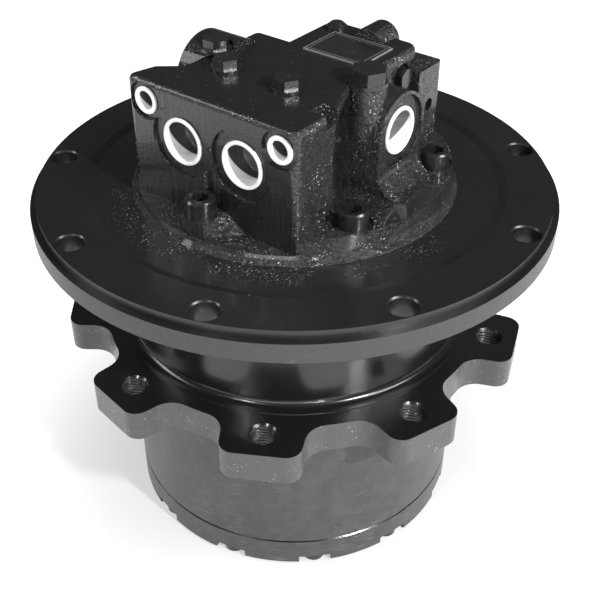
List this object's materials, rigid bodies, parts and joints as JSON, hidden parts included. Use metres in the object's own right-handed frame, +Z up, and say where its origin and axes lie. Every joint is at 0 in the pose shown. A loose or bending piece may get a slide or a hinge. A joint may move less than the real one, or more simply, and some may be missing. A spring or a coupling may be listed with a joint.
{
  "type": "hydraulic drive motor",
  "caption": "Round hydraulic drive motor: a black port block with white caps on a bolting flange, over a lobed hub that turns on a planetary gear.",
  "frame": {"origin": "centre of the end cover's outer face, which the unit stands on", "axes": "+Z up along the axis of rotation to the port block; the port face looks along -Y; the side port looks along +X"},
  "size_m": [0.3, 0.3, 0.2964],
  "materials": {
    "black_enamel": "gloss",
    "white_cap": "satin",
    "plate": "satin",
    "machined_steel": "satin",
    "ground_steel": "polished",
    "bronze": "satin",
    "seal_rubber": "matte"
  },
  "bodies": {
    "frame": {"frame_flange": "black_enamel", "motor_port_block": "black_enamel", "base_screws": "black_enamel", "gallery_plugs": "black_enamel", "side_gallery_plug": "black_enamel", "rear_dome_plug": "black_enamel", "rear_face_plug": "black_enamel", "relief_valves": "black_enamel", "rating_plate": "plate", "spool_bore_plug": "black_enamel", "valve_plate": "bronze", "swash_plate": "machined_steel", "speed_pistons": "machined_steel", "brake_steel_plates": "machined_steel", "brake_springs": "machined_steel", "upper_shaft_bush": "bronze", "shaft_bearing_outer": "ground_steel", "shaft_seal": "seal_rubber", "bearing_inner_races": "ground_steel", "bearing_nut": "machined_steel", "upper_seal_ring": "ground_steel", "upper_seal_rubber": "seal_rubber", "second_stage_pins": "ground_steel"},
    "hub": {"hub": "black_enamel", "ring_gear": "machined_steel", "end_cover": "black_enamel", "cover_screws": "black_enamel", "cover_oil_plugs": "black_enamel", "cover_ring_seal": "seal_rubber", "thrust_pad": "bronze", "bearing_outer_races": "ground_steel", "lower_seal_ring": "ground_steel", "lower_seal_rubber": "seal_rubber"},
    "main_rollers": {"bearing_rollers": "ground_steel", "roller_cages": "ground_steel"},
    "carrier": {"first_stage_carrier": "machined_steel", "first_stage_pins": "ground_steel", "second_stage_sun": "machined_steel"},
    "rotor": {"drive_shaft": "machined_steel", "first_stage_sun": "machined_steel", "cylinder_block": "machined_steel", "pistons": "ground_steel", "piston_shoes": "bronze", "shoe_retainer": "bronze", "brake_lined_discs": "bronze", "shaft_bearing_inner": "ground_steel"},
    "shaft_rollers": {"shaft_bearing_rollers": "ground_steel"},
    "counterbalance_spool": {"counterbalance_spool": "machined_steel"},
    "brake_piston": {"brake_piston": "machined_steel"},
    "first_planet_1": {"first_stage_planet_1": "machined_steel"},
    "second_planet_1": {"second_stage_planet_1": "machined_steel"},
    "first_planet_2": {"first_stage_planet_2": "machined_steel"},
    "second_planet_2": {"second_stage_planet_2": "machined_steel"},
    "first_planet_3": {"first_stage_planet_3": "machined_steel"},
    "second_planet_3": {"second_stage_planet_3": "machined_steel"},
    "left_main_port_cap": {"left_main_port_cap": "white_cap"},
    "right_main_port_cap": {"right_main_port_cap": "white_cap"},
    "left_small_port_cap": {"left_small_port_cap": "white_cap"},
    "right_small_port_cap": {"right_small_port_cap": "white_cap"},
    "side_port_cap": {"side_port_cap": "white_cap"}
  },
  "joints": [
    {"name": "hub_spin", "type": "hinge", "parent": "frame", "child": "hub", "pos_m": [0, 0, 0.1], "axis": [0, 0, 1], "continuous": true},
    {"name": "main_rollers_spin", "type": "hinge", "parent": "frame", "child": "main_rollers", "pos_m": [0, 0, 0.15], "axis": [0, 0, 1], "continuous": true},
    {"name": "carrier_spin", "type": "hinge", "parent": "frame", "child": "carrier", "pos_m": [0, 0, 0.053], "axis": [0, 0, 1], "continuous": true},
    {"name": "rotor_spin", "type": "hinge", "parent": "frame", "child": "rotor", "pos_m": [0, 0, 0.1], "axis": [0, 0, 1], "continuous": true},
    {"name": "shaft_rollers_spin", "type": "hinge", "parent": "frame", "child": "shaft_rollers", "pos_m": [0, 0, 0.1025], "axis": [0, 0, 1], "continuous": true},
    {"name": "first_planet_1_spin", "type": "hinge", "parent": "carrier", "child": "first_planet_1", "pos_m": [0.045, 0, 0.038], "axis": [0, 0, 1], "continuous": true},
    {"name": "second_planet_1_spin", "type": "hinge", "parent": "frame", "child": "second_planet_1", "pos_m": [0.04875, 0, 0.0745], "axis": [0, 0, 1], "continuous": true},
    {"name": "first_planet_2_spin", "type": "hinge", "parent": "carrier", "child": "first_planet_2", "pos_m": [-0.0225, 0.03897, 0.038], "axis": [0, 0, 1], "continuous": true},
    {"name": "second_planet_2_spin", "type": "hinge", "parent": "frame", "child": "second_planet_2", "pos_m": [-0.02438, 0.04222, 0.0745], "axis": [0, 0, 1], "continuous": true},
    {"name": "first_planet_3_spin", "type": "hinge", "parent": "carrier", "child": "first_planet_3", "pos_m": [-0.0225, -0.03897, 0.038], "axis": [0, 0, 1], "continuous": true},
    {"name": "second_planet_3_spin", "type": "hinge", "parent": "frame", "child": "second_planet_3", "pos_m": [-0.02438, -0.04222, 0.0745], "axis": [0, 0, 1], "continuous": true},
    {"name": "counterbalance_spool_slide", "type": "slide", "parent": "frame", "child": "counterbalance_spool", "axis": [1, 0, 0], "range_m": [-0.004, 0.004], "stiffness_N_per_m": 500},
    {"name": "brake_release", "type": "slide", "parent": "frame", "child": "brake_piston", "axis": [0, 0, 1], "range_m": [0, 0.001], "stiffness_N_per_m": 2000, "springref_m": -0.02, "deforming": ["brake_springs"]},
    {"name": "left_main_port_cap_pull", "type": "slide", "parent": "frame", "child": "left_main_port_cap", "axis": [0, -1, 0], "range_m": [0, 0.02]},
    {"name": "right_main_port_cap_pull", "type": "slide", "parent": "frame", "child": "right_main_port_cap", "axis": [0, -1, 0], "range_m": [0, 0.02]},
    {"name": "left_small_port_cap_pull", "type": "slide", "parent": "frame", "child": "left_small_port_cap", "axis": [0, -1, 0], "range_m": [0, 0.013]},
    {"name": "right_small_port_cap_pull", "type": "slide", "parent": "frame", "child": "right_small_port_cap", "axis": [0, -1, 0], "range_m": [0, 0.013]},
    {"name": "side_port_cap_pull", "type": "slide", "parent": "frame", "child": "side_port_cap", "axis": [1, 0, 0], "range_m": [0, 0.02]}
  ],
  "couplings": [
    {"joint": "main_rollers_spin", "follows": "hub_spin", "ratio": 0.53067},
    {"joint": "carrier_spin", "follows": "hub_spin", "ratio": -3.3333},
    {"joint": "rotor_spin", "follows": "hub_spin", "ratio": -25},
    {"joint": "shaft_rollers_spin", "follows": "hub_spin", "ratio": -11.029},
    {"joint": "first_planet_1_spin", "follows": "hub_spin", "ratio": 10.833},
    {"joint": "second_planet_1_spin", "follows": "hub_spin", "ratio": 2.8571},
    {"joint": "first_planet_2_spin", "follows": "hub_spin", "ratio": 10.833},
    {"joint": "second_planet_2_spin", "follows": "hub_spin", "ratio": 2.8571},
    {"joint": "first_planet_3_spin", "follows": "hub_spin", "ratio": 10.833},
    {"joint": "second_planet_3_spin", "follows": "hub_spin", "ratio": 2.8571}
  ]
}
